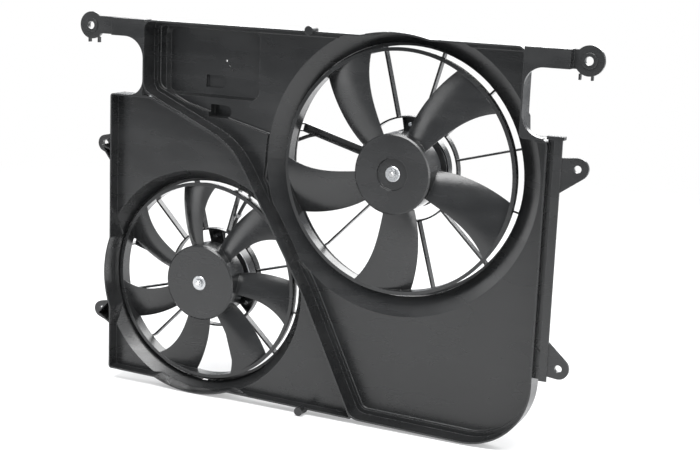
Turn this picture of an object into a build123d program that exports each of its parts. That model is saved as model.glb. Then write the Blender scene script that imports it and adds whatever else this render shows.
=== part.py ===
from build123d import *
from math import atan2, cos, degrees, hypot, pi, radians, sin, tan
from types import SimpleNamespace
import os

# Twin radiator cooling fan: one moulded shroud, a large and a small banded fan, and a motor behind each.
# X runs to the right as seen from the motor side, Z up and Y forwards to the radiator.
# Everything is laid out from the rim that meets the radiator, and a depth is a distance behind that rim.
# The finished pieces are then moved so that the origin lies midway between the bolt holes of the two arms.

# Shroud panel
wall = 2.5
rib_wall = 2.4
rib_root = 4.0
rim_top = 37.0
rim_left = -364.0
rim_right = 377.0
rim_left_upper = -323.0
rim_right_upper = 316.0
shoulder_left = -92.0
shoulder_right = -85.0
rim_bottom_left = -568.0
rim_bottom_right = -550.0
corner_radius = 105.0
deep_floor = 42.0
shelf_drop = 8.0
small_floor = 22.0
divider = [(150.0, -150.0), (18.0, -372.0), (-73.0, -561.0)]
divider_rounds = [130.0, 300.0, 24.0]
shelf = 7.0
floor_edge = 4.0
terrace = [
    (324.0, -78.0), (215.0, -106.0), (104.0, -133.0),
    (112.0, -215.0), (200.0, -260.0), (332.0, -150.0),
]
upstand = deep_floor - shelf_drop
edge_wall_gap = 11.0
edge_wall_ribs = 5

# Pocket in the upper corner of the panel, with its windows and pin holes
pocket_width = 168.0
pocket_height = 108.0
pocket_right_gap = 22.0
pocket_bottom = -80.0
pocket_rise = 8.0
pocket_slope = 7.0
pocket_round = 12.0
window_width = 38.0
window_height = 20.0
window_drop = 18.5
window_shift = 16.0
window_box_wall = 2.0
pin_hole = 1.6
pin_holes = [(-14.0, 2.0), (-8.0, 9.0), (-2.0, 16.0)]
pocket_floor = deep_floor + pocket_rise

# Ring in the shroud around each fan
large_axis = (-120.2, -169.7)
small_axis = (213.4, -384.4)
large_opening = 196.0
small_opening = 169.6
ring_lip = 5.0
lip_thickness = 3.0
large_flank_reach = 29.5
small_flank_reach = 16.0
large_flank_rise = 14.0
small_flank_rise = 23.0
large_ring_rise = 17.0
small_ring_rise = 10.0
large_bulge_reach = 18.0
small_bulge_reach = 13.4
small_side_reach = 4.4
drain_width = 12.0
drain_height = 9.0

# Arms, side lugs and locating pegs
arm_hole_right = (425.1, 21.5)
arm_hole_left = (-412.1, 21.5)
arm_depth = 16.0
arm_thickness = 6.0
arm_ring = 22.0
arm_hole = 6.3
arm_boss_wall = 5.0
arm_boss_height = 2.0
arm_bottom = 9.0
arm_step = 8.0
arm_joggle_right = 372.0
arm_joggle_left = 385.0
arm_web_right = 34.0
arm_web_left = 28.0
prong_width = 3.0
prong_length = 9.0
prong_shifts = (-13.0, 5.0)
shoulder_web_right = 26.0
shoulder_web_left = 34.0
lug_thickness = 5.0
lug_hole = 5.5
lug_ring_left = 16.0
lug_ring_right = 14.0
lug_boss_height = 1.5
lug_left_depth = 2.0
lug_right_depth = 37.0
lug_left_upper = (-410.0, -131.0)
lug_left_lower = (-402.0, -426.0)
lug_right_upper = (411.0, -174.5)
lug_right_lower = (417.0, -461.5)
lug_root_short = 14.0
lug_root_long = 37.0
lug_root_right = 31.0
lug_root_right_above = 22.0
side_flange = 22.0
side_flange_bottom = -448.0
side_groove = 12.0
channel_depth = 12.0
peg_radius = 7.0
peg_length = 12.0
peg_reach = 1.5
peg_top_x = 15.0
peg_bottom_x = 11.0

# Struts and motor mount ring
strut_count = 12
strut_first = 15.0
strut_wall = 3.0
strut_height = 13.0
large_strut_rise = 16.0
small_strut_rise = 24.0
wide_strut = 14.0
wide_strut_edge = 2.2
fin_rise = 3.0
fin_hole_radius = 2.0
large_fin_back = 5.0
small_fin_back = 3.0
mount_radius = 83.0
mount_wall = 2.6
seat_drop = 1.0
ear_inner = 55.0
ear_half_width = 13.0
ear_thickness = 3.0
screw_circle = 70.0
screw_angles = (90.0, -30.0, -150.0)
screw_radius = 3.0
screw_clearance = 0.3

# Fans
hub_radius = 62.0
hub_wall = 2.5
hub_depth = 60.0
hub_boss = 13.0
hub_dish = 24.0
hub_rib_count = 6
band_wall = 3.0
band_lip = 2.6
band_lip_height = 2.2
band_gap = 0.9
band_front = 33.0
band_rear = 53.0
large_blades = 5
small_blades = 7
large_hub_front = 14.0
small_hub_front = 18.0
large_hub_recess = 4.0
small_hub_recess = 0.0
blade_thickness = 2.6
blade_edge = 1.2
blade_camber = 0.07
blade_bite = 1.0
large_lead_edge = (69.3, -8.4, 13.0)
large_trail_edge = (28.3, 18.2, -0.4)
small_lead_edge = (38.15, -11.6, 18.7)
small_trail_edge = (8.6, 6.4, 6.15)
large_lead_depths = (27.0, 34.0)
large_trail_depths = (46.0, 51.5)
small_lead_depths = (31.0, 34.5)
small_trail_depths = (47.0, 51.0)

# Motors
shaft_radius = 4.0
shaft_chamfer = 0.6
bush_clearance = 0.03
bush_wall = 3.0
bush_length = 9.0
case_radius = 50.0
case_wall = 2.0
case_round = 4.0
case_front_gap = 20.0
end_plate_radius = 60.0
end_plate = 2.5
end_plate_ear = 9.0
spigot_depth = 4.0
cap_radius = 49.5
cap_drop = 9.0
cap_edge = 3.0
large_cover_radius = 62.0
small_cover_radius = 58.0
cover_depth = 112.0
cover_wall = 2.0
cover_edge = 5.0
magnet_thickness = 5.0
magnet_count = 4
magnet_gap = 14.0
stack_front_gap = 17.0
stack_rear_gap = 15.0
air_gap = 1.0
slot_count = 12
slot_mouth = 3.0
slot_width = 9.0
tooth_tip = 3.5
winding_end = 6.0
commutator_radius = 11.0
commutator_cut = 0.6
winding_clearance = 12.4
brush_count = 4
brush_width = 8.0
brush_length = 16.0
brush_gap = 0.15
brush_box_wall = 1.2
brush_card = 2.0
spring_length = 5.6
spring_width = 4.0
nut_radius = 12.0
nut_height = 5.0
nut_hexagon = 7.5
nut_flange = 1.8
screw_head = 5.2
screw_head_height = 4.6
screw_washer = 7.5
screw_length = 11.0
screw_socket = 2.2
label_width = 34.0
label_height = 9.0
label_thickness = 0.3

# Leads and connectors
lead_diameter = 6.0
sleeve_wall = 1.6
tie_wall = 1.6
tie_width = 5.0
tie_bite = 0.05
grommet_width = 10.0
grommet_depth = 8.0
housing_length = 36.0
housing_height = 24.0
housing_depth = 21.0
housing_round = 4.0
seal_length = 6.0
seal_inset = 2.0
retainer_length = 14.0
retainer_step = 4.0
terminal_spacing = 10.0
terminal_radius = 1.6
terminal_bore = 2.2
latch_length = 18.0
latch_width = 9.0
upper_connector = (190.0, -38.0)
lower_connector = (176.0, -84.0)
connector_gap = 6.0
bracket_gap = 0.3
bracket_thickness = 3.0
connector_near = pocket_floor + connector_gap

large_lead_angle_out = 15.0
small_lead_angle_out = 105.0
exit_height = 5.0
connector_middle = connector_near + housing_depth / 2
cable_end = seal_length + retainer_length
large_lead_route = [
    (-20.0, 96.8, -142.8), (16.0, 97.0, -133.5), (50.0, 94.5, -131.5), (79.0, 88.0, -144.0),
    (104.0, 75.0, -155.0), (129.0, 63.5, -152.0), (148.0, 58.5, -131.0), (151.0, 58.0, -105.0),
    (144.0, 58.5, -83.0), (138.0, 62.0, -64.0), (141.5, connector_middle, -49.0),
    (upper_connector[0] - cable_end - 17.0, connector_middle, upper_connector[1]),
    (upper_connector[0] - cable_end, connector_middle, upper_connector[1]),
]
small_lead_route = [
    (184.0, 86.0, -283.0), (169.0, 85.0, -256.0), (147.0, 77.0, -228.0), (113.0, 67.0, -199.0),
    (89.0, 73.0, -168.0), (74.5, 79.5, -131.0), (86.0, 74.0, -100.0), (111.0, 67.5, -85.0),
    (lower_connector[0] - cable_end - 20.0, connector_middle, lower_connector[1]),
    (lower_connector[0] - cable_end, connector_middle, lower_connector[1]),
]
lead_outside = 78.0
large_tie_place = 0.22
small_tie_place = 0.17
large_tie_sink = 2.2
small_tie_sink = 0.0
sleeve_start = 0.36
sleeve_end = 0.56

# Blank stickers on the deep floor: left, right, bottom and top edges
sticker_thickness = 0.25
part_sticker = (-133.0, -90.0, -541.0, -514.0)
date_sticker = (-86.0, -73.0, -537.0, -528.0)


def fan_side(axis, opening, floor, flank_reach, rises, hub_front, recess, cover_radius):
    """The radii and depths on one fan axis, worked out from that fan's own sizes."""
    side = SimpleNamespace(axis=axis, opening=opening, floor=floor, recess=recess, hub_front=hub_front)
    flank_rise, ring_rise, strut_rise = rises
    side.outer = opening + wall
    side.lip = opening - ring_lip
    side.flank_radius = side.outer + flank_reach
    side.flank_depth = floor + flank_rise
    side.lip_depth = side.flank_depth + ring_rise
    side.mount_depth = side.lip_depth + strut_rise
    side.band = side.lip - band_gap - band_lip - band_wall
    side.case_front = hub_front + case_front_gap
    side.seat = side.mount_depth - seat_drop
    side.base = side.seat + end_plate
    side.cover_radius = cover_radius
    side.stack_near = side.case_front + stack_front_gap
    side.stack_far = side.seat - stack_rear_gap
    return side


large = fan_side(large_axis, large_opening, deep_floor, large_flank_reach,
                 (large_flank_rise, large_ring_rise, large_strut_rise),
                 large_hub_front, large_hub_recess, large_cover_radius)
small = fan_side(small_axis, small_opening, small_floor, small_flank_reach,
                 (small_flank_rise, small_ring_rise, small_strut_rise),
                 small_hub_front, small_hub_recess, small_cover_radius)
panel_far = large.lip_depth


def plane_at(depth):
    return Plane.XZ.offset(depth)


def slab(face, near, far):
    """A flat piece between two depths, from an outline in X and Z."""
    return extrude(plane_at(near) * face, far - near)


def spin(points):
    """A turned piece about the Y axis, from a closed outline of (radius, depth) points."""
    outline = Polyline(*[(radius, -depth) for radius, depth in points], close=True)
    return revolve(make_face(outline), Axis.Y)


def tube(inner, outer, near, far):
    return slab(Circle(outer) - Circle(inner), near, far)


def disc(radius, near, far):
    return slab(Circle(radius), near, far)


def upright(points, thickness):
    """A thin wall that stands along +X, from a closed outline of (distance, depth) points."""
    outline = Polyline(*[(distance, -depth) for distance, depth in points], close=True)
    return extrude(make_face(outline), thickness / 2, both=True)


def turned(shape, angle):
    """Turn about Y, from +X towards +Z."""
    return Rot(0, -angle, 0) * shape


def on_axis(shape, axis):
    return Pos(axis[0], 0, axis[1]) * shape


def on_circle(axis, radius, angle):
    return (axis[0] + radius * cos(radians(angle)), axis[1] + radius * sin(radians(angle)))


def panel_box(left, right, bottom, top):
    """A rectangle in X and Z, given by its edges."""
    return Pos((left + right) / 2, (bottom + top) / 2) * Rectangle(right - left, top - bottom)


def rib(start, end, base, top_start, top_end):
    """A rib on the back of the panel, between two (x, z) points, with its top edge at the given depths."""
    length = hypot(end[0] - start[0], end[1] - start[1])
    angle = degrees(atan2(end[1] - start[1], end[0] - start[0]))
    body = upright([(0, base), (length, base), (length, top_end), (0, top_start)], rib_wall)
    return Pos(start[0], 0, start[1]) * turned(body, angle)


def joined(pieces):
    total = pieces[0]
    for piece in pieces[1:]:
        total = total + piece
    return total


def group(pieces):
    """Separate pieces kept in one node."""
    return Compound(children=[Part() + piece for piece in pieces])


# Outlines of the panel: a deep zone behind the large fan and a shallow zone behind the small one
def bottom_edge(x):
    share = (x - rim_left) / (rim_right - rim_left)
    return rim_bottom_left + share * (rim_bottom_right - rim_bottom_left)


def rounded_outline(corners):
    points = [point for point, _ in corners]
    rounds = [size for _, size in corners]
    return make_face(FilletPolyline(*points, radius=rounds, close=True))


def deep_zone():
    outline = rounded_outline([
        ((rim_right_upper, rim_top), 14.0), ((rim_right_upper, shoulder_right + 9.0), 24.0),
        (divider[0], divider_rounds[0]), (divider[1], divider_rounds[1]), (divider[2], divider_rounds[2]),
        ((rim_left, rim_bottom_left), corner_radius), ((rim_left, shoulder_left), 12.0),
        ((rim_left_upper, shoulder_left), 5.0), ((rim_left_upper, rim_top), 12.0),
    ])
    bulge = large_opening + large_bulge_reach
    above = panel_box(large_axis[0] - bulge, large_axis[0] + bulge, rim_top - 20, rim_top + 20)
    return outline + (Pos(*large_axis) * Circle(bulge) & above)


def shallow_zone():
    overlap = wall + 0.5
    edge = rim_right_upper - 16.0
    outline = rounded_outline([
        ((rim_right, shoulder_right), 5.0), ((rim_right, rim_bottom_right), 5.0),
        ((divider[2][0] - overlap, bottom_edge(divider[2][0])), 2.0),
        ((divider[1][0] - overlap, divider[1][1]), divider_rounds[1]),
        ((divider[0][0] - overlap, divider[0][1]), divider_rounds[0]),
        ((edge, shoulder_right), 2.0),
    ])
    low = small_opening + small_bulge_reach
    side = small_opening + small_side_reach
    below = panel_box(small_axis[0] - low, small_axis[0] + low, rim_bottom_right - 30, rim_bottom_right + 10)
    beside = panel_box(rim_right - 20, rim_right + 20, small_axis[1] - side, small_axis[1] + side)
    return (outline + (Pos(*small_axis) * Circle(low) & below)
            + (Pos(*small_axis) * Circle(side) & beside))


deep_face = deep_zone()
shallow_face = shallow_zone()
plateau = offset(deep_face, amount=-shelf) - make_face(Polyline(*terrace, close=True))
plateau_inside = offset(plateau, amount=-wall)
deep_inside = offset(deep_face, amount=-wall)
shallow_inside = offset(shallow_face, amount=-wall)
pocket_left = rim_right_upper - pocket_right_gap - pocket_width


def pocket(inset):
    """The raised box in the upper corner, which carries the two connectors."""
    centre = Pos(pocket_left + pocket_width / 2, pocket_bottom + pocket_height / 2)
    width = pocket_width - 2 * inset
    height = pocket_height - 2 * inset
    edge = pocket_round - inset
    floor = RectangleRounded(width, height, edge)
    grown = RectangleRounded(width + 2 * pocket_slope, height + 2 * pocket_slope, edge + pocket_slope)
    near = plane_at(upstand) * centre * grown
    far = plane_at(pocket_floor - inset) * centre * floor
    return loft([near.face(), far.face()])


# The rings around the fans
def flank(side, inset):
    """The cone that rises from the panel to the ring around a fan."""
    start = side.floor - 12
    low = side.flank_radius - inset
    high = side.outer - inset
    far = side.flank_depth - inset
    outline = [(0, start), (low, start), (low, side.floor - inset), (high, far), (0, far)]
    return on_axis(spin(outline), side.axis)


def barrel(side):
    """The ring around a fan, with its inward lip at the motor side."""
    start = side.flank_depth - 12
    under_lip = side.lip_depth - lip_thickness
    profile = [(side.opening, start), (side.outer, start), (side.outer, side.lip_depth),
               (side.lip, side.lip_depth), (side.lip, under_lip), (side.opening, under_lip)]
    return on_axis(spin(profile), side.axis)


def strut_angle(index):
    return strut_first + 360 / strut_count * index


def gussets(side):
    """Small triangular ribs that carry each strut's foot down the flank of the ring."""
    inner = side.opening + wall / 2
    root = side.floor - rib_root
    outline = [(inner, root), (side.flank_radius, root), (side.opening + 8, side.lip_depth - 6),
               (inner, side.lip_depth)]
    one = upright(outline, rib_wall)
    return [on_axis(turned(one, strut_angle(index)), side.axis) for index in range(strut_count)]


def strut_foot(side, index):
    """Where a strut stands on the ring, as the start of a rib across the panel."""
    return on_circle(side.axis, side.opening + 2, strut_angle(index))


def drain(side):
    """A slot through the lowest point of a ring."""
    middle = side.axis[1] - side.opening - wall / 2
    face = Pos(side.axis[0], middle) * Rectangle(drain_width, drain_height)
    return slab(face, side.lip_depth - 14, side.lip_depth - 5)


# Arms, lugs and the walls that carry them
def lug(hole, ring, root_x, below, above, near):
    """A side ear with its bolt hole and raised boss, which widens to its root on the side wall."""
    centre = Pos(*hole)
    root = Line((root_x, hole[1] - below), (root_x, hole[1] + above))
    ear = make_hull((centre * Circle(ring)).edges() + root.edges())
    boss = centre * Circle(lug_hole + 2.5)
    far = near + lug_thickness
    return slab(ear, near, far) + slab(boss, near, far + lug_boss_height)


def lug_bore(hole, near):
    return slab(Pos(*hole) * Circle(lug_hole), near - 1, near + lug_thickness + lug_boss_height + 1)


def side_riser(hole):
    """A raised length of the right side wall, which carries a lug."""
    face = panel_box(rim_right - wall, rim_right, hole[1] - lug_root_right, hole[1] + lug_root_right_above)
    return slab(face, small_floor, lug_right_depth + lug_thickness)


def lugs():
    left_root = rim_left - side_flange + 1
    right_root = rim_right - 1
    pieces = [
        lug(lug_left_upper, lug_ring_left, left_root, lug_root_long, lug_root_short, lug_left_depth),
        lug(lug_left_lower, lug_ring_left, left_root, lug_root_short, lug_root_long, lug_left_depth),
    ]
    for hole in (lug_right_upper, lug_right_lower):
        pieces.append(lug(hole, lug_ring_right, right_root, lug_root_right, lug_root_right_above,
                          lug_right_depth))
        pieces.append(side_riser(hole))
    return joined(pieces)


def lug_bores():
    left = [lug_bore(hole, lug_left_depth) for hole in (lug_left_upper, lug_left_lower)]
    right = [lug_bore(hole, lug_right_depth) for hole in (lug_right_upper, lug_right_lower)]
    return joined(left + right)


def arm(hole, root_x, joggle, web):
    """An upper arm: a flat bar that steps back from the rim to the ring around its bolt hole."""
    side = 1 if hole[0] > 0 else -1
    step_x = side * joggle
    near_left, near_right = sorted((root_x - side * 2, step_x + side * 2))
    far_left, far_right = sorted((step_x - side * arm_step / 2, hole[0] - side * 4))
    bar = panel_box(near_left, near_right, arm_bottom, rim_top)
    square = Pos(root_x + side * web / 2, arm_bottom - web / 2) * Rectangle(web, web)
    web_fill = square - Pos(root_x + side * web, arm_bottom - web) * Circle(web)
    far_depth = arm_depth + arm_thickness
    body = slab(bar + web_fill, 0, arm_thickness)
    body += slab(panel_box(step_x - arm_step / 2, step_x + arm_step / 2, arm_bottom, rim_top), 0, far_depth)
    for low in (arm_bottom, rim_top - wall):
        body += slab(panel_box(near_left, near_right, low, low + wall), 0, far_depth)
    end = panel_box(far_left, far_right, arm_bottom, rim_top) + Pos(*hole) * Circle(arm_ring)
    boss = Pos(*hole) * Circle(arm_hole + arm_boss_wall)
    body += slab(end, arm_depth, far_depth) + slab(boss, arm_depth - arm_boss_height, far_depth)
    for shift in prong_shifts:
        middle = Pos(hole[0] + side * shift, hole[1] - arm_ring - 1)
        body += slab(middle * Rectangle(prong_width, prong_length), arm_depth, far_depth)
    return body - slab(Pos(*hole) * Circle(arm_hole), 0, far_depth + 1)


def shoulder_web(corner_x, corner_z, size, side):
    """The rounded inner corner below an arm, where the notch meets the shoulder of the panel."""
    block = Pos(corner_x + side * size / 2, corner_z + size / 2) * Rectangle(size, size)
    return block - Pos(corner_x + side * size, corner_z + size) * Circle(size)


def side_channel():
    """The grooved flange down the left edge of the panel, which carries the two left lugs."""
    edge = rim_left - side_flange
    low = side_flange_bottom
    high = shoulder_left
    flange = panel_box(edge, edge + side_groove, low, high)
    web = panel_box(edge + side_groove - wall, edge + side_groove, low, high)
    floor = panel_box(edge + side_groove - wall, rim_left + 2, low, high)
    top = panel_box(edge - 2, rim_left + 2, high, high + 5)
    return (slab(flange, 0, wall) + slab(web, 0, channel_depth)
            + slab(floor, channel_depth - wall, channel_depth) + slab(top, 0, channel_depth))


# Seats of the connectors, with the window beneath each one
def connector_bracket(corner):
    """A bracket that lifts a connector off the panel, with a clip tongue above it."""
    middle = Pos(corner[0] + housing_length / 2, corner[1])
    pad = middle * Rectangle(housing_length - 8, housing_height - 6)
    post = middle * Rectangle(housing_length - 18, housing_height - 12)
    tongue = middle * Pos(0, housing_height / 2 + 3.2) * Rectangle(12, rib_wall)
    root = deep_floor - 2
    pad_far = connector_near - bracket_gap
    return (slab(pad, pad_far - bracket_thickness, pad_far) + slab(post, root, pad_far)
            + slab(tongue, root, connector_near + 8))


def window_face(corner, grow):
    """A window outline, round at the left end, drawn out by a wall when it is the box behind the window."""
    width = window_width + 2 * grow
    height = window_height + 2 * grow
    middle = Pos(corner[0] + window_shift, corner[1] - window_drop)
    straight = Pos(height / 4, 0) * Rectangle(width - height / 2, height)
    return middle * (straight + Pos((height - width) / 2, 0) * Circle(height / 2))


def window_box(corner):
    return slab(window_face(corner, window_box_wall), upstand, connector_near - 1)


def window_hollow(corner):
    return slab(window_face(corner, 0), upstand - wall - 1, connector_near - 1 - window_box_wall)


def pins():
    left, low = upper_connector
    spots = [Pos(left + x, low + z) * Circle(pin_hole) for x, z in pin_holes]
    return joined([slab(spot, upstand, pocket_floor + 1) for spot in spots])


# Ribs across the back of the panel
def panel_ribs():
    left_base = small_floor - 14
    right_base = small_floor - 8
    deep_base = deep_floor - 12
    lug_top = lug_right_depth + lug_thickness + 4
    low_large = large.lip_depth - 8
    low_small = small.lip_depth - 6
    left_lug = (lug_left_lower[0] + 10, lug_left_lower[1])
    upper_lug = (lug_right_upper[0] - 8, lug_right_upper[1])
    lower_lug = (lug_right_lower[0] - 8, lug_right_lower[1])
    lug_start = channel_depth
    ribs = [
        rib(left_lug, strut_foot(large, 7), left_base, lug_start, large.lip_depth - 15),
        rib(left_lug, strut_foot(small, 7), left_base, lug_start, small.lip_depth - 2),
        rib(strut_foot(small, 2), upper_lug, right_base, low_small - 3, lug_top),
        rib(strut_foot(small, 1), upper_lug, right_base, low_small + 1, lug_top),
        rib(strut_foot(small, 11), lower_lug, right_base, low_small - 3, lug_top),
        rib(strut_foot(small, 10), lower_lug, right_base, low_small - 3, lug_top),
        rib((pocket_left + 60, pocket_bottom - 8), (upper_lug[0], upper_lug[1] + 8), right_base,
            pocket_floor + 2, lug_top),
        rib(strut_foot(large, 8), strut_foot(small, 7), deep_base, low_large, low_small),
        rib(strut_foot(large, 9), strut_foot(small, 6), deep_base, low_large, low_small),
        rib(strut_foot(large, 1), (140.0, -5.0), deep_base, low_large, pocket_floor + 4),
        rib(strut_foot(large, 1), (150.0, -68.0), deep_base, low_large, pocket_floor + 4),
        rib(strut_foot(large, 1), (206.0, -206.0), deep_base, low_large, low_small),
        rib(strut_foot(small, 10), (rim_right - 4, rim_bottom_right + 6), right_base, low_small - 3,
            upstand),
    ]
    low = small_opening + small_bulge_reach - 1
    for angle in (-113.0, -103.0, -90.0, -78.0, -66.0):
        ribs.append(rib(on_circle(small_axis, small_opening + 1, angle), on_circle(small_axis, low, angle),
                        right_base, low_small, upstand))
    return ribs


def edge_wall():
    """A second wall inside the bottom rim, tied to it by short cross ribs."""
    start = divider[2][0] + 6
    end = small_axis[0] - 0.4 * small_opening
    inner = edge_wall_gap
    base = small_floor - rib_root
    spans = [((start, bottom_edge(start) + inner), (end, bottom_edge(end) + inner))]
    for index in range(edge_wall_ribs):
        x = start + (end - start) * index / edge_wall_ribs
        spans.append(((x, bottom_edge(x) + 1), (x + 4, bottom_edge(x) + inner)))
    return [rib(near_end, far_end, base, upstand, upstand) for near_end, far_end in spans]


def raised_floor(outline, far, edge):
    """The back of the deep zone, a step in from the edge, with its rim rounded over."""
    block = slab(outline, upstand - 2 * wall, far)
    rim = block.edges().filter_by_position(Axis.Y, -far - 0.01, -far + 0.01)
    return fillet(rim, edge)


def panel_outside():
    body = slab(deep_face, 0, upstand) + raised_floor(plateau, deep_floor, floor_edge)
    body += slab(shallow_face, 0, small_floor) + pocket(0)
    body += slab((shallow_face - shallow_inside) - deep_face, small_floor - 1, upstand)
    cones = flank(large, 0) + flank(small, 0) + barrel(large) + barrel(small)
    for piece in gussets(large) + gussets(small):
        cones += piece
    body += cones & slab(deep_face + shallow_face, 0, panel_far)
    for piece in panel_ribs() + edge_wall():
        body += piece
    body += arm(arm_hole_right, rim_right_upper, arm_joggle_right, arm_web_right)
    body += arm(arm_hole_left, rim_left_upper, arm_joggle_left, arm_web_left)
    body += slab(shoulder_web(rim_right_upper, shoulder_right, shoulder_web_right, 1), 0, small_floor)
    body += slab(shoulder_web(rim_left_upper, shoulder_left, shoulder_web_left, -1), 0, channel_depth)
    body += side_channel() + lugs()
    for corner in (upper_connector, lower_connector):
        body += connector_bracket(corner) + window_box(corner)
    return body


def panel_cavity():
    """Everything that is open to the radiator side, with the two fan openings."""
    cavity = slab(deep_inside, -1, upstand - wall) + slab(shallow_inside, -1, small_floor - wall)
    cavity += raised_floor(plateau_inside, deep_floor - wall, floor_edge - wall)
    cavity += pocket(wall)
    for side, inside in ((large, deep_inside), (small, shallow_inside)):
        cavity += flank(side, wall) & slab(inside, 0, panel_far)
        cavity += on_axis(disc(side.opening, side.floor - 10, side.lip_depth - lip_thickness), side.axis)
        cavity += on_axis(disc(side.lip, side.floor, side.lip_depth + 30), side.axis)
    return cavity


def shroud_panel():
    body = panel_outside() - panel_cavity() - lug_bores() - pins()
    for side in (large, small):
        body -= drain(side)
    for corner in (upper_connector, lower_connector):
        body -= window_hollow(corner)
    top_peg = (peg_top_x, rim_top + peg_reach)
    bottom_peg = (peg_bottom_x, bottom_edge(peg_bottom_x) - peg_reach)
    for peg in (top_peg, bottom_peg):
        body += on_axis(disc(peg_radius, -peg_length, 8), peg)
    return body


def strut_frame(side, wide_index, fin_back, holed):
    """Twelve struts that carry the motor's mounting ring, with their feet on the ring in the shroud."""
    far = side.mount_depth
    inner = mount_radius - mount_wall
    root = mount_radius - 1
    body = tube(inner, mount_radius, far - strut_height, far)
    foot_in = side.lip + 1.0
    foot_out = side.outer - 0.5
    tip = foot_out - fin_back
    under = far - strut_height + 1
    outline = [(root, under), (foot_in - 3, under + 3), (foot_in, side.lip_depth),
               (foot_out, side.lip_depth), (tip, far + fin_rise), (root, far)]
    fin_hole = Pos(tip - 3, 3 - far, 0) * Cylinder(fin_hole_radius, 20)
    for index in range(strut_count):
        if index == wide_index:
            tray = upright([(root, far - 4), (foot_in, far - 4), (foot_in, far - 1.5), (root, far - 1.5)],
                           wide_strut)
            edge = upright(outline, wide_strut_edge)
            shift = (wide_strut - wide_strut_edge) / 2
            strut = tray + Pos(0, 0, shift) * edge + Pos(0, 0, -shift) * edge
        else:
            strut = upright(outline, strut_wall)
            if index in holed:
                strut -= fin_hole
        body += turned(strut, strut_angle(index))
    for angle in screw_angles:
        body += turned(mount_ear(side, inner), angle)
    return on_axis(body, side.axis)


def mount_ear(side, inner):
    """A pad on the mounting ring that takes one motor screw, with a web under each edge."""
    pad = panel_box(ear_inner, inner + 1, -ear_half_width, ear_half_width)
    pad = pad - Pos(screw_circle, 0) * Circle(screw_radius + 0.2)
    ear = slab(pad, side.seat - ear_thickness, side.seat)
    web = upright([(ear_inner + 3, side.seat - 2), (inner + 0.5, side.mount_depth - strut_height),
                   (inner + 0.5, side.seat - 2)], rib_wall)
    shift = ear_half_width - rib_wall / 2
    return ear + Pos(0, 0, shift) * web + Pos(0, 0, -shift) * web


# Fans
def edge_angle(edge, side, radius):
    """The angle of a blade's edge at a radius, swept from the hub to the band."""
    start, slope, curve = edge
    share = (radius - hub_radius) / (side.band - hub_radius)
    return start + slope * share + curve * share ** 2


def blade_corner(distance, middle, edge, side):
    """Where a blade's edge crosses the plane at a distance from the axis, as a tangential offset."""
    radius = distance
    for _ in range(12):
        radius = distance / cos(radians(edge_angle(edge, side, radius) - middle))
    return distance * tan(radians(edge_angle(edge, side, radius) - middle))


def blade_section(lead, trail):
    """A thin cambered section between its two edges, each a (tangential, depth) point."""
    chord = hypot(lead[0] - trail[0], lead[1] - trail[1])
    across = ((lead[1] - trail[1]) / chord, (trail[0] - lead[0]) / chord)
    if across[1] > 0:
        across = (-across[0], -across[1])
    half = ((lead[0] + trail[0]) / 2, (lead[1] + trail[1]) / 2)

    def beside(point, amount):
        return (point[0] + across[0] * amount, -(point[1] + across[1] * amount))

    crown = blade_camber * chord
    edge = blade_edge / 2
    body = blade_thickness / 2
    front = ThreePointArc(beside(trail, edge), beside(half, crown + body), beside(lead, edge))
    lead_end = Line(beside(lead, edge), beside(lead, -edge))
    back = ThreePointArc(beside(lead, -edge), beside(half, crown - body), beside(trail, -edge))
    trail_end = Line(beside(trail, -edge), beside(trail, edge))
    return make_face([front, lead_end, back, trail_end])


def blade(side, lead_edge, trail_edge, lead_depths, trail_depths):
    """One blade: lofted through four sections from inside the hub to past the band, then trimmed to both."""
    span = side.band - hub_radius
    half_span = hub_radius + span / 2
    middle = (edge_angle(lead_edge, side, half_span) + edge_angle(trail_edge, side, half_span)) / 2
    start = hub_radius - 10
    end = side.band + 8
    faces = []
    for step in range(4):
        distance = start + (end - start) * step / 3
        share = (distance - hub_radius) / span
        lead_depth = lead_depths[0] + (lead_depths[1] - lead_depths[0]) * share
        trail_depth = trail_depths[0] + (trail_depths[1] - trail_depths[0]) * share
        lead = (blade_corner(distance, middle, lead_edge, side), lead_depth)
        trail = (blade_corner(distance, middle, trail_edge, side), trail_depth)
        frame = Plane(origin=(distance, 0, 0), x_dir=(0, 0, 1), z_dir=(-1, 0, 0))
        faces.append((frame * blade_section(lead, trail)).face())
    trim = tube(hub_radius - blade_bite, side.band + blade_bite, 0, hub_depth + 30)
    return turned(loft(faces), middle) & trim


def fan_hub(side):
    """A cup over the front of the motor, with a boss on the shaft and ribs across its floor."""
    front = side.hub_front
    sunk = front + side.recess
    floor = sunk + hub_wall
    boss_far = side.case_front - 4
    body = spin([
        (shaft_radius, sunk), (hub_dish, sunk), (hub_dish + 1.5, front), (hub_radius - 2.5, front),
        (hub_radius, front + 2), (hub_radius, hub_depth), (hub_radius - hub_wall, hub_depth),
        (hub_radius - hub_wall, floor), (hub_boss, floor), (hub_boss, boss_far), (shaft_radius, boss_far),
    ])
    outline = [(hub_boss - 1, floor - 0.5), (hub_radius - 1, floor - 0.5), (hub_radius - 1, floor + 6),
               (hub_boss - 1, floor + 8)]
    for index in range(hub_rib_count):
        body += turned(upright(outline, 2.0), 360 / hub_rib_count * index + 20)
    return body


def fan_band(side):
    inner = side.band
    outer = inner + band_wall
    lip_far = band_front + band_lip_height
    return spin([
        (inner, band_front), (outer + band_lip, band_front), (outer + band_lip, lip_far), (outer, lip_far),
        (outer, band_rear), (inner, band_rear),
    ])


def fan(side, count, single):
    """A banded fan: a cup-shaped hub over the motor, swept blades and an outer band with a front lip."""
    body = fan_hub(side) + fan_band(side)
    for index in range(count):
        body += turned(single, 360 / count * index)
    return body


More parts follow.
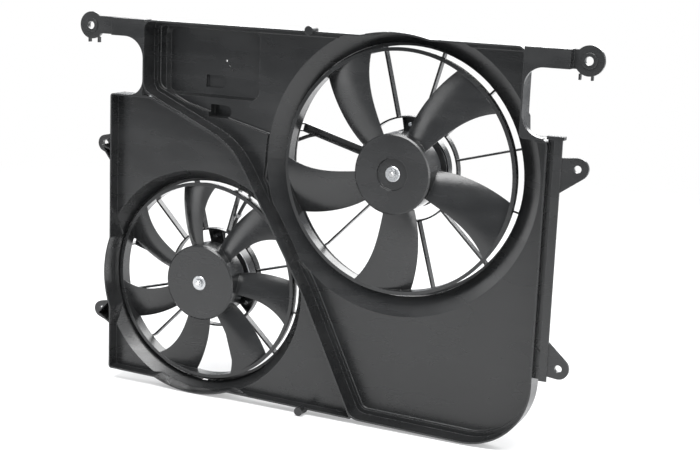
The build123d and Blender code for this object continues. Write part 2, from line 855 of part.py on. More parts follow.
# Motors
bush_outer = shaft_radius + bush_wall
case_inner = case_radius - case_wall
magnet_outer = case_inner - 0.1
magnet_inner = magnet_outer - magnet_thickness
core_radius = magnet_inner - air_gap
slot_inner = commutator_radius + winding_clearance
slot_outer = core_radius - tooth_tip
slot_middle = (slot_inner + slot_outer) / 2
slot_length = slot_outer - slot_inner


def motor_case(side):
    """A drawn steel can with a neck for the front bush."""
    front = side.case_front
    neck = bush_outer + case_wall
    return spin([
        (bush_outer, front), (case_radius - case_round, front), (case_radius, front + case_round),
        (case_radius, side.seat), (case_inner, side.seat), (case_inner, front + case_round + 0.5),
        (case_inner - case_round + 1, front + case_wall), (neck, front + case_wall),
        (neck, front + bush_length), (bush_outer, front + bush_length),
    ])


def motor_end_plate(side):
    """A plate that closes the can, with a neck for the rear bush and an ear for each screw."""
    face = Circle(end_plate_radius)
    for angle in screw_angles:
        ear = panel_box(screw_circle - 12, screw_circle, -end_plate_ear, end_plate_ear)
        ear += Pos(screw_circle, 0) * Circle(end_plate_ear)
        face += Rot(0, 0, angle) * ear
    face -= Circle(bush_outer)
    for angle in screw_angles:
        face -= Rot(0, 0, angle) * Pos(screw_circle, 0) * Circle(screw_radius + screw_clearance)
    plate = slab(face, side.seat, side.base)
    plate += tube(bush_outer, bush_outer + end_plate, side.seat, side.seat + bush_length)
    spigot = case_inner - 0.4
    return plate + tube(spigot - end_plate, spigot, side.seat - spigot_depth, side.seat + 0.5)


def bush(near):
    return tube(shaft_radius + bush_clearance, bush_outer, near, near + bush_length)


def motor_shaft(side):
    nut_near = side.hub_front + side.recess - nut_height
    body = disc(shaft_radius, nut_near - 2, side.seat + bush_length + 2)
    return chamfer(body.edges().filter_by(GeomType.CIRCLE), shaft_chamfer)


def fan_nut(side):
    """A hexagon nut with a wide flange, screwed on the shaft in front of the fan."""
    far = side.hub_front + side.recess
    near = far - nut_height
    under = far - nut_flange
    hexagon = slab(RegularPolygon(nut_hexagon, 6), near, under + 0.4)
    outline = [(0, under), (nut_radius - 1, under), (nut_radius, under + 0.8), (nut_radius, far), (0, far)]
    flange = spin(outline)
    return hexagon + flange - disc(shaft_radius, near - 1, far + 1)


def motor_magnets(side):
    """Curved magnets held against the inside of the can."""
    ring = tube(magnet_inner, magnet_outer, side.stack_near - 2, side.stack_far + 2)
    gap = slab(panel_box(0, case_radius, -magnet_gap / 2, magnet_gap / 2), side.case_front, side.seat)
    for index in range(magnet_count):
        ring -= turned(gap, 360 / magnet_count * (index + 0.5))
    return ring


def armature_core(side):
    face = Circle(core_radius) - Circle(shaft_radius)
    slot = Pos(slot_middle, 0) * Rectangle(slot_length, slot_width)
    mouth = Pos(core_radius - tooth_tip / 2, 0) * Rectangle(2 * tooth_tip, slot_mouth)
    for index in range(slot_count):
        face -= Rot(0, 0, 360 / slot_count * index) * (slot + mouth)
    return slab(face, side.stack_near, side.stack_far)


def armature_windings(side):
    """The coils as plain bars in the slots, joined by a ring at each end of the core."""
    inner = slot_inner - 0.5
    outer = slot_outer - 0.5
    body = tube(inner, outer, side.stack_near - winding_end, side.stack_near)
    body += tube(inner, outer, side.stack_far, side.stack_far + winding_end)
    body = chamfer(body.edges().filter_by(GeomType.CIRCLE), 1.5)
    bar = slab(Pos(slot_middle, 0) * Rectangle(slot_length - 2, slot_width - 2), side.stack_near - 2,
               side.stack_far + 2)
    for index in range(slot_count):
        body += turned(bar, 360 / slot_count * index)
    return body


def commutator(side):
    face = Circle(commutator_radius) - Circle(shaft_radius)
    cut = Pos(commutator_radius, 0) * Rectangle(3, commutator_cut)
    for index in range(slot_count):
        face -= Rot(0, 0, 360 / slot_count * index) * cut
    return slab(face, side.stack_far + 2, side.seat - 2.5)


def brush_gear(side):
    """The card with its four brush boxes, the brushes in them and the spring behind each brush."""
    far = side.seat - 0.5
    near = side.stack_far + winding_end + 0.6
    brush_far = far - brush_card - 1.2
    start = commutator_radius + brush_gap
    inside = brush_width + 0.4
    card = tube(commutator_radius + 3, case_inner - 4, far - brush_card, far)
    box_face = Pos(start + 0.7 * brush_length, 0) * (
        Rectangle(brush_length - 2, inside + 2 * brush_box_wall) - Rectangle(brush_length - 1, inside))
    carbon = slab(Pos(start + brush_length / 2, 0) * Rectangle(brush_length, brush_width), near, brush_far)
    spring = slab(Pos(start + brush_length + 3, 0) * Rectangle(spring_length, spring_width), near, brush_far)
    brushes = []
    springs = []
    for index in range(brush_count):
        angle = 360 / brush_count * (index + 0.5)
        card += turned(slab(box_face, near, far - 1), angle)
        brushes.append(turned(carbon, angle) - disc(start, near - 1, brush_far + 1))
        springs.append(turned(spring, angle))
    return card, group(brushes), group(springs)


def large_cover_cut():
    """The cut-out in the lower edge of the large motor's cover, straight across."""
    return Pos(0, -large_cover_radius) * Rectangle(1.25 * large_cover_radius, 0.62 * large_cover_radius)


def small_cover_cut():
    """The cut-out in the lower edge of the small motor's cover, an S curve."""
    left = -0.7 * small_cover_radius
    right = 0.86 * small_cover_radius
    deep = -0.82 * small_cover_radius
    high = -0.56 * small_cover_radius
    outside = -1.1 * small_cover_radius
    points = [(left, deep), (0, deep), (0.32 * small_cover_radius, high), (right, high)]
    edge = FilletPolyline(*points, radius=9)
    sides = Polyline((right, high), (right, outside), (left, outside), (left, deep))
    return make_face(edge.edges() + sides.edges())


def cover_and_grommet(side, cut_face, exit_angle):
    """The plastic cover over the end of a motor, cut out below, and the grommet in its side."""
    top = cover_depth
    outer = side.cover_radius
    inner = outer - cover_wall
    cup = spin([
        (0, top - cover_wall), (outer - cover_edge, top - cover_wall), (inner, top - cover_edge - 0.5),
        (inner, side.base), (outer, side.base), (outer, top - cover_edge),
        (outer - cover_edge + 0.5, top), (0, top),
    ])
    cup -= slab(cut_face, side.base + 4, top + 1)
    grommet_face = Pos(outer - cover_wall / 2, 0) * Rectangle(grommet_depth, grommet_width)
    grommet = slab(grommet_face, side.base, side.base + 2 * exit_height)
    cup -= turned(grommet, exit_angle)
    bore = Pos(outer, -side.base - exit_height, 0) * Rot(0, 90, 0) * Cylinder(lead_diameter / 2, 30)
    return cup, turned(grommet - bore, exit_angle)


def motor_end_cap(side):
    """The pressed cap under the cover, seen through the cut-out."""
    far = cover_depth - cap_drop
    inner = cap_radius - end_plate
    return spin([
        (inner, side.base), (cap_radius, side.base), (cap_radius, far - cap_edge),
        (cap_radius - cap_edge, far), (0, far), (0, far - end_plate), (inner, far - end_plate),
    ])


def motor_label():
    far = cover_depth - cap_drop
    face = Pos(0, label_height + 2 - cap_radius) * Rectangle(label_width, label_height)
    return slab(face, far, far + label_thickness)


def motor_screw(side):
    """A hexagon head with a washer face and a socket, on a plain shank."""
    near = side.base
    head = slab(RegularPolygon(screw_head, 6), near + 1.4, near + 1.4 + screw_head_height)
    washer = spin([(0, near), (screw_washer, near), (screw_washer, near + 0.6),
                   (screw_washer - 1.3, near + 1.8), (0, near + 1.8)])
    shank = disc(screw_radius, side.seat - screw_length, near + 1)
    return head + washer + shank - disc(screw_socket, near + 3.5, near + 7)


def motor_screws(side):
    screws = []
    for angle in screw_angles:
        x, z = on_circle((0, 0), screw_circle, angle)
        screws.append(Pos(x, 0, z) * motor_screw(side))
    return group(screws)


def motor(side, cut_face, exit_angle):
    """Everything that bolts to one mounting ring or turns with its fan."""
    cover, grommet = cover_and_grommet(side, cut_face, exit_angle)
    card, brushes, springs = brush_gear(side)
    return {
        "motor_case": motor_case(side),
        "motor_end_plate": motor_end_plate(side),
        "front_bush": bush(side.case_front),
        "rear_bush": bush(side.seat),
        "motor_shaft": motor_shaft(side),
        "fan_nut": fan_nut(side),
        "motor_magnets": motor_magnets(side),
        "armature_core": armature_core(side),
        "armature_windings": armature_windings(side),
        "commutator": commutator(side),
        "brush_holder": card,
        "brushes": brushes,
        "brush_springs": springs,
        "motor_cover": cover,
        "lead_grommet": grommet,
        "motor_end_cap": motor_end_cap(side),
        "motor_label": motor_label(),
        "motor_screws": motor_screws(side),
    }


# Leads
def lead_route(side, angle, route):
    """A route that starts inside a motor cover and leaves it square to its side."""
    depth = side.base + exit_height
    start = on_circle(side.axis, cap_radius + 1.5, angle)
    outside = on_circle(side.axis, lead_outside, angle)
    return [(start[0], depth, start[1]), (outside[0], depth, outside[1])] + route


def centre_line(route):
    """Straight runs joined by arcs as large as the runs allow."""
    points = [Vector(x, -depth, z) for x, depth, z in route]
    radii = []
    for before, here, after in zip(points, points[1:], points[2:]):
        run = min((here - before).length, (after - here).length)
        turn = (here - before).get_angle(after - here)
        radii.append(0.45 * run / tan(radians(turn) / 2))
    print("lead arcs", [round(radius, 1) for radius in radii])
    return FilletPolyline(*points, radius=radii)


def cord(path):
    """A round lead along its centre line."""
    section = Plane(origin=path @ 0, z_dir=path % 0) * Circle(lead_diameter / 2)
    body = sweep(section, path=path)
    expected = pi * (lead_diameter / 2) ** 2 * path.length
    print("lead length", round(path.length, 1), "volume share", round(body.volume / expected, 4))
    return body


def sleeve(path):
    """Tape wound round a length of a lead."""
    length = path.trim(sleeve_start, sleeve_end)
    ring = Circle(lead_diameter / 2 + sleeve_wall) - Circle(lead_diameter / 2)
    section = Plane(origin=length @ 0, z_dir=length % 0) * ring
    return sweep(section, path=length)


def lead_clip(path, place, foot_depth):
    """A tie that holds a lead: a band round the lead, a square head and a foot on the strut below."""
    centre = path @ place
    outer = lead_diameter / 2 + tie_wall
    frame = Plane(origin=centre, x_dir=(0, -1, 0), z_dir=path % place)
    band = Cylinder(outer, tie_width) + Pos(outer + 1.0, 0, 0) * Box(4.0, 5.5, 6.0)
    drop = -centre.Y - foot_depth
    foot = Pos(-drop / 2, 0, 0) * Box(drop, 4.0, tie_width)
    return frame * (band + foot - Cylinder(lead_diameter / 2 + tie_bite, 2 * tie_width + 2))


# Connectors, lying along X with the cable side to the left
def along_x(x, z, radius, length):
    return Pos(x, -connector_middle, z) * Rot(0, 90, 0) * Cylinder(radius, length)


def connector_housing(x, z):
    """The shell of a plug, open at the right end, with a latch on its back."""
    middle = x + housing_length / 2
    far = connector_near + housing_depth
    shell = slab(Pos(middle, z) * RectangleRounded(housing_length, housing_height, housing_round),
                 connector_near, far)
    shell += slab(Pos(middle + 2, z) * Rectangle(latch_length, latch_width), far - 0.5, far + 3)
    mouth = Pos(x + housing_length - 6, -connector_middle, z)
    shell -= mouth * Box(16, housing_depth - 6, housing_height - 7)
    for shift in (-terminal_spacing / 2, terminal_spacing / 2):
        shell -= along_x(x + 10, z + shift, terminal_bore, 24)
    return shell


def connector_terminals(x, z):
    shifts = (-terminal_spacing / 2, terminal_spacing / 2)
    return group([along_x(x + 14, z + shift, terminal_radius, 22) for shift in shifts])


def connector_seal(x, z):
    middle = Pos(x - seal_length / 2, -connector_middle, z)
    depth = housing_depth - 2 * seal_inset
    height = housing_height - 2 * seal_inset
    return middle * (Box(seal_length, depth, height) + Box(1.6, depth + seal_inset, height + seal_inset))


def connector_retainer(x, z):
    """The cable-side end of a plug, with a raised edge next to the seal."""
    near_end = x - seal_length
    body = Pos(near_end - retainer_length / 2, -connector_middle, z) * Box(
        retainer_length, housing_depth - 1, housing_height - 2)
    body = fillet(body.edges().filter_by(Axis.X), 3.0)
    edge = Pos(near_end - 1 - retainer_step / 2, -connector_middle, z)
    return body + edge * Box(retainer_step, housing_depth + 1, housing_height)


def sticker(edges):
    """A thin blank sticker on the back of the deep zone."""
    return slab(panel_box(*edges), deep_floor, deep_floor + sticker_thickness)


def write(name, shape):
    """Save a piece with the origin midway between the two arm holes, halfway through the arms."""
    middle = (arm_hole_right[0] + arm_hole_left[0]) / 2
    home = Pos(-middle, arm_depth + arm_thickness / 2, -arm_hole_right[1])
    export_step(home * shape, "parts/" + name + ".step")


os.makedirs("parts", exist_ok=True)
write("shroud_panel", shroud_panel())
write("large_strut_frame", strut_frame(large, 0, large_fin_back, (2, 4)))
write("small_strut_frame", strut_frame(small, 0, small_fin_back, ()))
large_blade = blade(large, large_lead_edge, large_trail_edge, large_lead_depths, large_trail_depths)
small_blade = blade(small, small_lead_edge, small_trail_edge, small_lead_depths, small_trail_depths)
write("large_fan", on_axis(fan(large, large_blades, large_blade), large_axis))
write("small_fan", on_axis(fan(small, small_blades, small_blade), small_axis))
for part_name, part_shape in motor(large, large_cover_cut(), large_lead_angle_out).items():
    write("large_" + part_name, on_axis(part_shape, large_axis))
for part_name, part_shape in motor(small, small_cover_cut(), small_lead_angle_out).items():
    write("small_" + part_name, on_axis(part_shape, small_axis))
large_path = centre_line(lead_route(large, large_lead_angle_out, large_lead_route))
small_path = centre_line(lead_route(small, small_lead_angle_out, small_lead_route))
write("large_motor_lead", cord(large_path))
write("small_motor_lead", cord(small_path))
write("lead_sleeve", sleeve(small_path))
write("large_lead_clip", lead_clip(large_path, large_tie_place, large.mount_depth - large_tie_sink))
write("small_lead_clip", lead_clip(small_path, small_tie_place, small.mount_depth - small_tie_sink))
for side_name, (plug_x, plug_z) in (("upper", upper_connector), ("lower", lower_connector)):
    write(side_name + "_connector_housing", connector_housing(plug_x, plug_z))
    write(side_name + "_connector_seal", connector_seal(plug_x, plug_z))
    write(side_name + "_connector_retainer", connector_retainer(plug_x, plug_z))
    write(side_name + "_connector_terminals", connector_terminals(plug_x, plug_z))
write("part_label", sticker(part_sticker))
write("date_label", sticker(date_sticker))
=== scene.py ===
import bpy
from mathutils import Matrix, Vector


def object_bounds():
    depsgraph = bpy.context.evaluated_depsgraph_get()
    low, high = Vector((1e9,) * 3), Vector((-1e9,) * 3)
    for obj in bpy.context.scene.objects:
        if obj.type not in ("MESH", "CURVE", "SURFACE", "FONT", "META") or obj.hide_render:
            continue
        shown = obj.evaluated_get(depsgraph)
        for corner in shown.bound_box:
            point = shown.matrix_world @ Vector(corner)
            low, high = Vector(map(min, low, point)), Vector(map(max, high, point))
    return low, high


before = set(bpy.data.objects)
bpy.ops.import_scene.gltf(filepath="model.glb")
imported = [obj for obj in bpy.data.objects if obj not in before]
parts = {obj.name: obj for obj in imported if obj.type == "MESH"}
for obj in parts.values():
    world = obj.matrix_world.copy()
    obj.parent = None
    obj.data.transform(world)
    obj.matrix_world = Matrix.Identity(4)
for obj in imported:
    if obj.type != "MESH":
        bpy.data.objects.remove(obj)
cad_low, cad_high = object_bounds()


# Shroud: one large injection moulding in black glass-filled nylon, with the motor struts moulded in.
# The tool's spark-eroded skin leaves a fine even grain, thin walls show faint sink and flow bands,
# and every rib edge is slightly rounded, a little polished by handling, and painted a lighter grey as a
# highlight.
class Wire:
    """An output socket of a material. Arithmetic on it adds the Math nodes."""

    def __init__(self, finish, socket):
        self.finish = finish
        self.socket = socket

    def maths(self, operation, first, second):
        return self.finish.node("ShaderNodeMath", {"operation": operation}, {0: first, 1: second})

    def __add__(self, other):
        return self.maths("ADD", self, other)

    def __sub__(self, other):
        return self.maths("SUBTRACT", self, other)

    def __mul__(self, other):
        return self.maths("MULTIPLY", self, other)


class Finish:
    """A procedural material. Constants are set on the shader itself, and what varies is linked to it."""

    def __init__(self, name, **constants):
        self.material = bpy.data.materials.new(name)
        self.material.use_nodes = True
        self.tree = self.material.node_tree
        self.tree.nodes.clear()
        self.shader = self.tree.nodes.new("ShaderNodeBsdfPrincipled")
        self.surface = self.tree.nodes.new("ShaderNodeOutputMaterial")
        self.tree.links.new(self.shader.outputs["BSDF"], self.surface.inputs["Surface"])
        for socket, value in constants.items():
            self.shader.inputs[socket.replace("_", " ")].default_value = value

    def node(self, kind, settings=None, inputs=None, output=0):
        made = self.tree.nodes.new(kind)
        for name, value in (settings or {}).items():
            setattr(made, name, value)
        for name, value in (inputs or {}).items():
            self.put(made.inputs[name], value)
        return Wire(self, made.outputs[output])

    def put(self, socket, value):
        if isinstance(value, Wire):
            self.tree.links.new(value.socket, socket)
        else:
            socket.default_value = value

    def links(self, **wires):
        for name, wire in wires.items():
            self.put(self.shader.inputs[name.replace("_", " ")], wire)

    def place(self):
        return self.node("ShaderNodeTexCoord", output="Object")

    def noise(self, scale, detail=2.0, roughness=0.5, place=None):
        inputs = {"Vector": place or self.place(), "Scale": scale, "Detail": detail, "Roughness": roughness}
        return self.node("ShaderNodeTexNoise", {"noise_dimensions": "3D"}, inputs)

    def between(self, mask, low, high):
        """A colour that runs from low to high with a mask."""
        return self.node("ShaderNodeMix", {"data_type": "RGBA"}, {"Factor": mask, 6: low, 7: high}, output=2)

    def spread(self, value, low, high, to_low, to_high):
        inputs = {0: value, 1: low, 2: high, 3: to_low, 4: to_high}
        return self.node("ShaderNodeMapRange", {"clamp": True}, inputs)

    def edges(self, radius):
        """The rounded normal of moulded or pressed edges, and a mask that is 1 along them."""
        rounded = self.node("ShaderNodeBevel", {"samples": 6}, {"Radius": radius})
        flat = self.node("ShaderNodeNewGeometry", output="True Normal")
        same = self.node("ShaderNodeVectorMath", {"operation": "DOT_PRODUCT"}, {0: rounded, 1: flat},
                         output="Value")
        return rounded, self.spread(same, 0.995, 0.75, 0.0, 1.0)

    def bump(self, height, strength, distance, under=None):
        inputs = {"Height": height, "Strength": strength, "Distance": distance}
        if under is not None:
            inputs["Normal"] = under
        return self.node("ShaderNodeBump", None, inputs)


def grey(level, tint=0.0):
    return (level, level * (1 + tint * 0.5), level * (1 + tint), 1.0)


def moulded_plastic(name, base, painted_edge_highlight, roughness, grain, edge_radius):
    """Black moulded plastic: base is the grey of a plain face, the second grey level is painted along edges
    as a highlight, and roughness is that of a plain face.
    """
    finish = Finish(name, IOR=1.5)
    rounded, edge = finish.edges(edge_radius)
    place = finish.place()
    cloud = finish.noise(9.0, 3.0, 0.6, place)
    streak_place = finish.node("ShaderNodeMapping", None, {"Vector": place, "Scale": (7.0, 7.0, 42.0)})
    streak = finish.noise(1.0, 3.0, 0.55, streak_place)
    skin = finish.noise(grain, 2.0, 0.6, place)
    fine = finish.noise(grain * 0.21, 1.0, 0.5, place)
    patches = finish.spread(cloud * 0.6 + streak * 0.4, 0.38, 0.64, 0.0, 1.0)
    tone = finish.between(patches, grey(base, 0.06), grey(base * 1.5, 0.05))
    highlight_breakup = finish.spread(finish.noise(60.0, 4.0, 0.7, place), 0.45, 0.7, 0.25, 1.0)
    smooth, dull = roughness - 0.05, roughness + 0.09
    finish.links(
        # Along every edge the colour is lightened patchily towards a lighter grey: a painted highlight.
        Base_Color=finish.between(edge * highlight_breakup, tone, grey(painted_edge_highlight, 0.03)),
        Roughness=finish.spread(streak + cloud, 0.75, 1.25, smooth, dull) - edge * 0.06,
        Normal=finish.bump(skin + fine * 0.7, 0.22, 0.0002, rounded),
    )
    return finish.material


def dress(material, *names):
    """Gives CAD nodes their finish."""
    for name in names:
        mesh = parts[name].data
        mesh.materials.clear()
        mesh.materials.append(material)


shroud_black = moulded_plastic("shroud_black_nylon", base=0.010, painted_edge_highlight=0.10, roughness=0.25, grain=2600.0,
                               edge_radius=0.0008)
dress(shroud_black, "shroud_panel", "large_strut_frame", "small_strut_frame")


# Fans: moulded in a smoother, glossier black polypropylene, with a band round the blade tips.
# Each is balanced after moulding, so the faces are clean, and air has left no wear yet.
fan_black = moulded_plastic("fan_black_polypropylene", base=0.011, painted_edge_highlight=0.09, roughness=0.22, grain=1500.0,
                            edge_radius=0.0007)
dress(fan_black, "large_fan", "small_fan")


# Motor covers: thin satin-black caps clipped over the brush end of each motor.
# They are the smoothest mouldings, so they catch the light as one even sheen.
cover_black = moulded_plastic("cover_satin_black", base=0.018, painted_edge_highlight=0.12, roughness=0.24, grain=3200.0,
                              edge_radius=0.0009)
dress(cover_black, "large_motor_cover", "small_motor_cover")


# Motor cans, end plates and end caps: deep-drawn steel. The can is coated black, and the plates are
# zinc plated, with the mottled grey of the plating.
def plated_steel(name, dark, light, rough, edge_radius):
    finish = Finish(name, Metallic=1.0, IOR=2.0)
    rounded, edge = finish.edges(edge_radius)
    place = finish.place()
    spangle = finish.node("ShaderNodeTexVoronoi", {"feature": "F1"}, {"Vector": place, "Scale": 420.0},
                          output="Color")
    cell = finish.node("ShaderNodeSeparateColor", None, {"Color": spangle})
    cloud = finish.noise(55.0, 4.0, 0.6, place)
    mask = finish.spread(cell * 0.35 + cloud, 0.4, 0.95, 0.0, 1.0)
    finish.links(
        # The colour is lighter along edges, a painted highlight, and mottled by the spangle and cloud, which
        # is the plating's own.
        Base_Color=finish.between(edge * 0.6 + mask * 0.4, grey(dark, 0.04), grey(light, 0.02)),
        Roughness=finish.spread(cloud, 0.3, 0.7, rough - 0.08, rough + 0.1),
        Normal=finish.bump(finish.noise(900.0, 3.0, 0.6, place), 0.12, 0.0002, rounded),
    )
    return finish.material


def coated_steel(name):
    finish = Finish(name, Metallic=0.0, IOR=1.5, Coat_Weight=0.3, Coat_Roughness=0.2)
    rounded, edge = finish.edges(0.0008)
    place = finish.place()
    cloud = finish.noise(30.0, 4.0, 0.6, place)
    finish.links(
        # Along the edges the black is lightened patchily towards grey: a painted highlight.
        Base_Color=finish.between(edge * finish.spread(cloud, 0.45, 0.7, 0.1, 0.8), grey(0.022), grey(0.16)),
        Roughness=finish.spread(cloud, 0.3, 0.7, 0.3, 0.45),
        Normal=finish.bump(finish.noise(700.0, 2.0, 0.5, place), 0.15, 0.0002, rounded),
    )
    return finish.material


dress(coated_steel("can_black_coat"), "large_motor_case", "small_motor_case")
dress(plated_steel("end_zinc_plate", dark=0.20, light=0.42, rough=0.40, edge_radius=0.0006),
      "large_motor_end_plate", "small_motor_end_plate", "large_motor_end_cap", "small_motor_end_cap")


# Fasteners: three bright zinc flange screws hold each motor to its ring, and a plain steel
# flange nut holds each fan on its shaft. Both are cold formed, and their edges are painted lighter as a
# highlight.
dress(plated_steel("screw_bright_zinc", dark=0.62, light=0.86, rough=0.24, edge_radius=0.0005),
      "large_motor_screws", "small_motor_screws")
dress(plated_steel("nut_plain_steel", dark=0.45, light=0.7, rough=0.3, edge_radius=0.0005),
      "large_fan_nut", "small_fan_nut")


# Running gear inside the motors: ground shafts in sintered bronze bushes, laminated armatures
# with enamelled copper windings, a copper commutator, carbon brushes on springs and ferrite magnets.
def turned_metal(name, dark, light, rough, scale):
    """Ground or machined metal with fine lines square to the shaft."""
    finish = Finish(name, Metallic=1.0)
    place = finish.place()
    lines = finish.node("ShaderNodeMapping", None, {"Vector": place, "Scale": (20.0, scale, 20.0)})
    cut = finish.noise(1.0, 3.0, 0.6, lines)
    finish.links(
        Base_Color=finish.between(cut, dark, light),
        Roughness=finish.spread(cut, 0.3, 0.7, rough - 0.06, rough + 0.08),
        Normal=finish.bump(cut, 0.2, 0.0002),
    )
    return finish.material


def grainy(name, dark, light, rough, scale, metallic=0.0, depth=0.0003):
    """A dull body colour with an open grain, for sintered, pressed and moulded inner pieces."""
    finish = Finish(name, Metallic=metallic)
    place = finish.place()
    grain = finish.noise(scale, 5.0, 0.65, place)
    patch = finish.noise(scale * 0.06, 3.0, 0.5, place)
    finish.links(
        Base_Color=finish.between(grain * 0.6 + patch * 0.4, dark, light),
        Roughness=finish.spread(patch, 0.3, 0.7, rough - 0.08, rough + 0.08),
        Normal=finish.bump(grain, 0.4, depth),
    )
    return finish.material


both = ("large_", "small_")
dress(turned_metal("shaft_ground_steel", grey(0.5), grey(0.7), 0.22, 3000.0),
      *[n + "motor_shaft" for n in both])
dress(grainy("bush_sintered_bronze", (0.36, 0.22, 0.09, 1), (0.55, 0.36, 0.17, 1), 0.5, 2400.0, 0.9),
      *[n + e for n in both for e in ("front_bush", "rear_bush")])
dress(turned_metal("core_laminations", grey(0.18), grey(0.42), 0.4, 1400.0),
      *[n + "armature_core" for n in both])
dress(grainy("winding_enamel", (0.36, 0.10, 0.02, 1), (0.62, 0.24, 0.07, 1), 0.28, 700.0, 0.8),
      *[n + "armature_windings" for n in both])
dress(turned_metal("commutator_copper", (0.62, 0.30, 0.16, 1), (0.82, 0.46, 0.28, 1), 0.3, 2000.0),
      *[n + "commutator" for n in both])
dress(grainy("magnet_ferrite", grey(0.05), grey(0.11), 0.6, 1200.0), *[n + "motor_magnets" for n in both])
dress(grainy("brush_carbon", grey(0.03), grey(0.07), 0.45, 1800.0), *[n + "brushes" for n in both])
dress(turned_metal("spring_steel", grey(0.4), grey(0.6), 0.3, 2600.0), *[n + "brush_springs" for n in both])
dress(grainy("holder_phenolic", (0.12, 0.06, 0.03, 1), (0.22, 0.12, 0.06, 1), 0.5, 900.0),
      *[n + "brush_holder" for n in both])


# Leads: soft black jacketed cables from each motor to its plug, clipped to the struts with ties.
# The jacket is glossy vinyl, the grommets and seals matt rubber, and the small motor's lead is taped.
def soft_black(name, base, rough, scale, strength):
    finish = Finish(name, IOR=1.48)
    place = finish.place()
    cloud = finish.noise(45.0, 4.0, 0.6, place)
    skin = finish.noise(scale, 3.0, 0.6, place)
    finish.links(
        Base_Color=finish.between(cloud, grey(base), grey(base * 1.9)),
        Roughness=finish.spread(cloud, 0.3, 0.7, rough - 0.07, rough + 0.1),
        Normal=finish.bump(skin, strength, 0.0002),
    )
    return finish.material


dress(soft_black("lead_vinyl", 0.020, 0.27, 500.0, 0.15), "large_motor_lead", "small_motor_lead")
dress(soft_black("seal_rubber", 0.018, 0.55, 900.0, 0.4), "large_lead_grommet", "small_lead_grommet",
      "upper_connector_seal", "lower_connector_seal")
dress(soft_black("sleeve_tape", 0.030, 0.6, 1300.0, 0.8), "lead_sleeve")
dress(grainy("tie_natural_nylon", grey(0.42), grey(0.58), 0.4, 700.0), "large_lead_clip", "small_lead_clip")


# Plugs: two sealed housings in pale grey nylon with a lighter retainer clipped over the cable end,
# and tinned terminals inside. The nylon is slightly translucent and faintly mottled.
def pale_nylon(name, dark, light):
    finish = Finish(name, IOR=1.52, Subsurface_Weight=0.08, Subsurface_Scale=0.002)
    rounded, edge = finish.edges(0.0006)
    place = finish.place()
    cloud = finish.noise(110.0, 4.0, 0.65, place)
    finish.links(
        # The colour is lighter along edges, a painted highlight, on top of the nylon's own mottle.
        Base_Color=finish.between(finish.spread(cloud, 0.3, 0.7, 0.0, 0.8) + edge * 0.3, dark, light),
        Roughness=finish.spread(cloud, 0.3, 0.7, 0.36, 0.5),
        Normal=finish.bump(finish.noise(1500.0, 2.0, 0.6, place), 0.2, 0.0002, rounded),
    )
    return finish.material


dress(pale_nylon("plug_grey_nylon", (0.36, 0.38, 0.38, 1), (0.52, 0.55, 0.55, 1)),
      "upper_connector_housing", "lower_connector_housing")
dress(pale_nylon("retainer_pale_nylon", (0.56, 0.58, 0.56, 1), (0.74, 0.76, 0.74, 1)),
      "upper_connector_retainer", "lower_connector_retainer")
dress(turned_metal("terminal_tin", grey(0.5), grey(0.75), 0.3, 1500.0), "upper_connector_terminals",
      "lower_connector_terminals")


# Stickers: blank white paper on the motor side of the shroud and on each motor's end cap.
# The paper is slightly mottled, with a fine fibre.
def blank_paper(name):
    finish = Finish(name)
    rounded, edge = finish.edges(0.0003)
    place = finish.place()
    fibre = finish.noise(1400.0, 5.0, 0.7, place)
    finish.links(
        Base_Color=finish.between(finish.noise(40.0, 3.0, 0.6, place), grey(0.78), grey(0.88)),
        Roughness=finish.spread(fibre, 0.3, 0.7, 0.4, 0.6),
        Normal=finish.bump(fibre, 0.12, 0.0001, rounded),
    )
    return finish.material


dress(blank_paper("sticker_blank_paper"),
      "part_label", "date_label", "large_motor_label", "small_motor_label")


# Studio: a pale floor under the part, which is white where the camera sees it far off, and soft lamps.
# The lamps are broad, because black plastic shows its shape by what it reflects.
def studio_floor():
    reach = 9.0
    gap_under_part = 0.001
    level = cad_low.z - gap_under_part
    corners = [(-reach, -reach, level), (reach, -reach, level),
               (reach, reach, level), (-reach, reach, level)]
    mesh = bpy.data.meshes.new("floor")
    mesh.from_pydata(corners, [], [(0, 1, 2, 3)])
    floor = bpy.data.objects.new("floor", mesh)
    bpy.context.scene.collection.objects.link(floor)
    finish = Finish("floor_pale", Roughness=0.85)
    place = finish.place()
    away = finish.node("ShaderNodeVectorMath", {"operation": "LENGTH"}, {0: place}, output="Value")
    cloud = finish.noise(3.0, 3.0, 0.5, place)
    finish.links(Base_Color=finish.between(cloud, grey(0.80), grey(0.84)))
    white = finish.node("ShaderNodeEmission", None, {"Color": (1, 1, 1, 1), "Strength": 1.0})
    seen = finish.node("ShaderNodeLightPath", output="Is Camera Ray")
    share = finish.spread(away, 0.7, 2.6, 0.35, 1.0) * seen
    mixed = finish.node("ShaderNodeMixShader", None,
                        {0: share, 1: Wire(finish, finish.shader.outputs["BSDF"]), 2: white})
    finish.tree.links.new(mixed.socket, finish.surface.inputs["Surface"])
    mesh.materials.append(finish.material)


def lamp(name, place, target, width, height, power):
    data = bpy.data.lights.new(name, "AREA")
    data.shape = "RECTANGLE"
    data.size = width
    data.size_y = height
    data.energy = power
    made = bpy.data.objects.new(name, data)
    made.location = place
    made.rotation_mode = "QUATERNION"
    made.rotation_quaternion = (Vector(target) - Vector(place)).to_track_quat("-Z", "Y")
    bpy.context.scene.collection.objects.link(made)


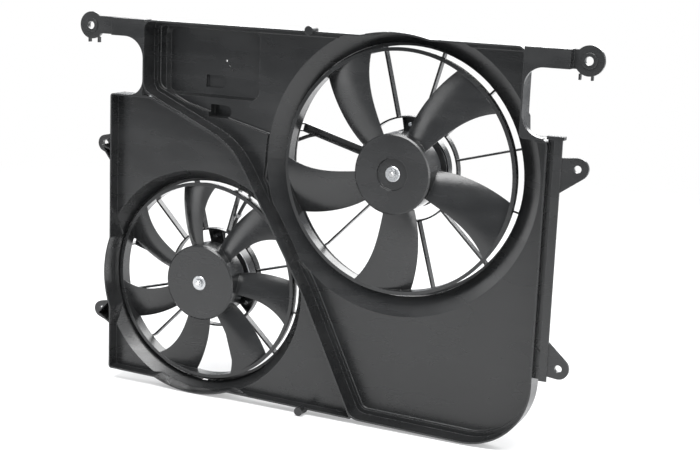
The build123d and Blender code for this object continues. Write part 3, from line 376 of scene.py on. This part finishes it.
def studio_world():
    world = bpy.data.worlds.new("studio")
    bpy.context.scene.world = world
    world.use_nodes = True
    tree = world.node_tree
    tree.nodes.clear()
    around = tree.nodes.new("ShaderNodeBackground")
    around.inputs["Color"].default_value = (0.86, 0.9, 0.95, 1)
    around.inputs["Strength"].default_value = 0.42
    behind = tree.nodes.new("ShaderNodeBackground")
    behind.inputs["Color"].default_value = (1, 1, 1, 1)
    mix = tree.nodes.new("ShaderNodeMixShader")
    path = tree.nodes.new("ShaderNodeLightPath")
    out = tree.nodes.new("ShaderNodeOutputWorld")
    tree.links.new(path.outputs["Is Camera Ray"], mix.inputs[0])
    tree.links.new(around.outputs[0], mix.inputs[1])
    tree.links.new(behind.outputs[0], mix.inputs[2])
    tree.links.new(mix.outputs[0], out.inputs["Surface"])


studio_floor()
studio_world()
middle = (cad_low + cad_high) / 2
lamp("top_box", middle + Vector((-0.3, 0.9, 1.9)), middle, 2.2, 1.0, 92.0)
lamp("left_box", middle + Vector((-2.4, 1.6, 0.7)), middle, 0.8, 2.2, 32.0)
lamp("right_box", middle + Vector((2.2, 1.3, 0.6)), middle, 1.0, 2.0, 16.0)
lamp("back_box", middle + Vector((0.4, -1.9, 1.3)), middle, 2.4, 1.4, 70.0)
lamp("back_fill", middle + Vector((-1.9, -1.6, 0.2)), middle, 1.2, 1.8, 30.0)

# Camera: in front of the radiator side, a little above the middle, as in the photo's upper left view.
# Its place and its three directions were solved from that view.
camera_data = bpy.data.cameras.new("camera")
camera_data.lens = 74.0
camera_data.clip_end = 40.0
camera = bpy.data.objects.new("camera", camera_data)
looking = Vector((0.406, -0.892, -0.198)).normalized()
down = Vector((-0.119, 0.163, -0.979))
right = looking.cross(-down).normalized()
upward = right.cross(looking)
turned = Matrix((right, upward, -looking)).transposed().to_4x4()
camera.matrix_world = Matrix.Translation((-0.9615, 1.982, 0.1505)) @ turned
bpy.context.scene.collection.objects.link(camera)
bpy.context.scene.camera = camera
bpy.context.scene.view_settings.view_transform = "Standard"
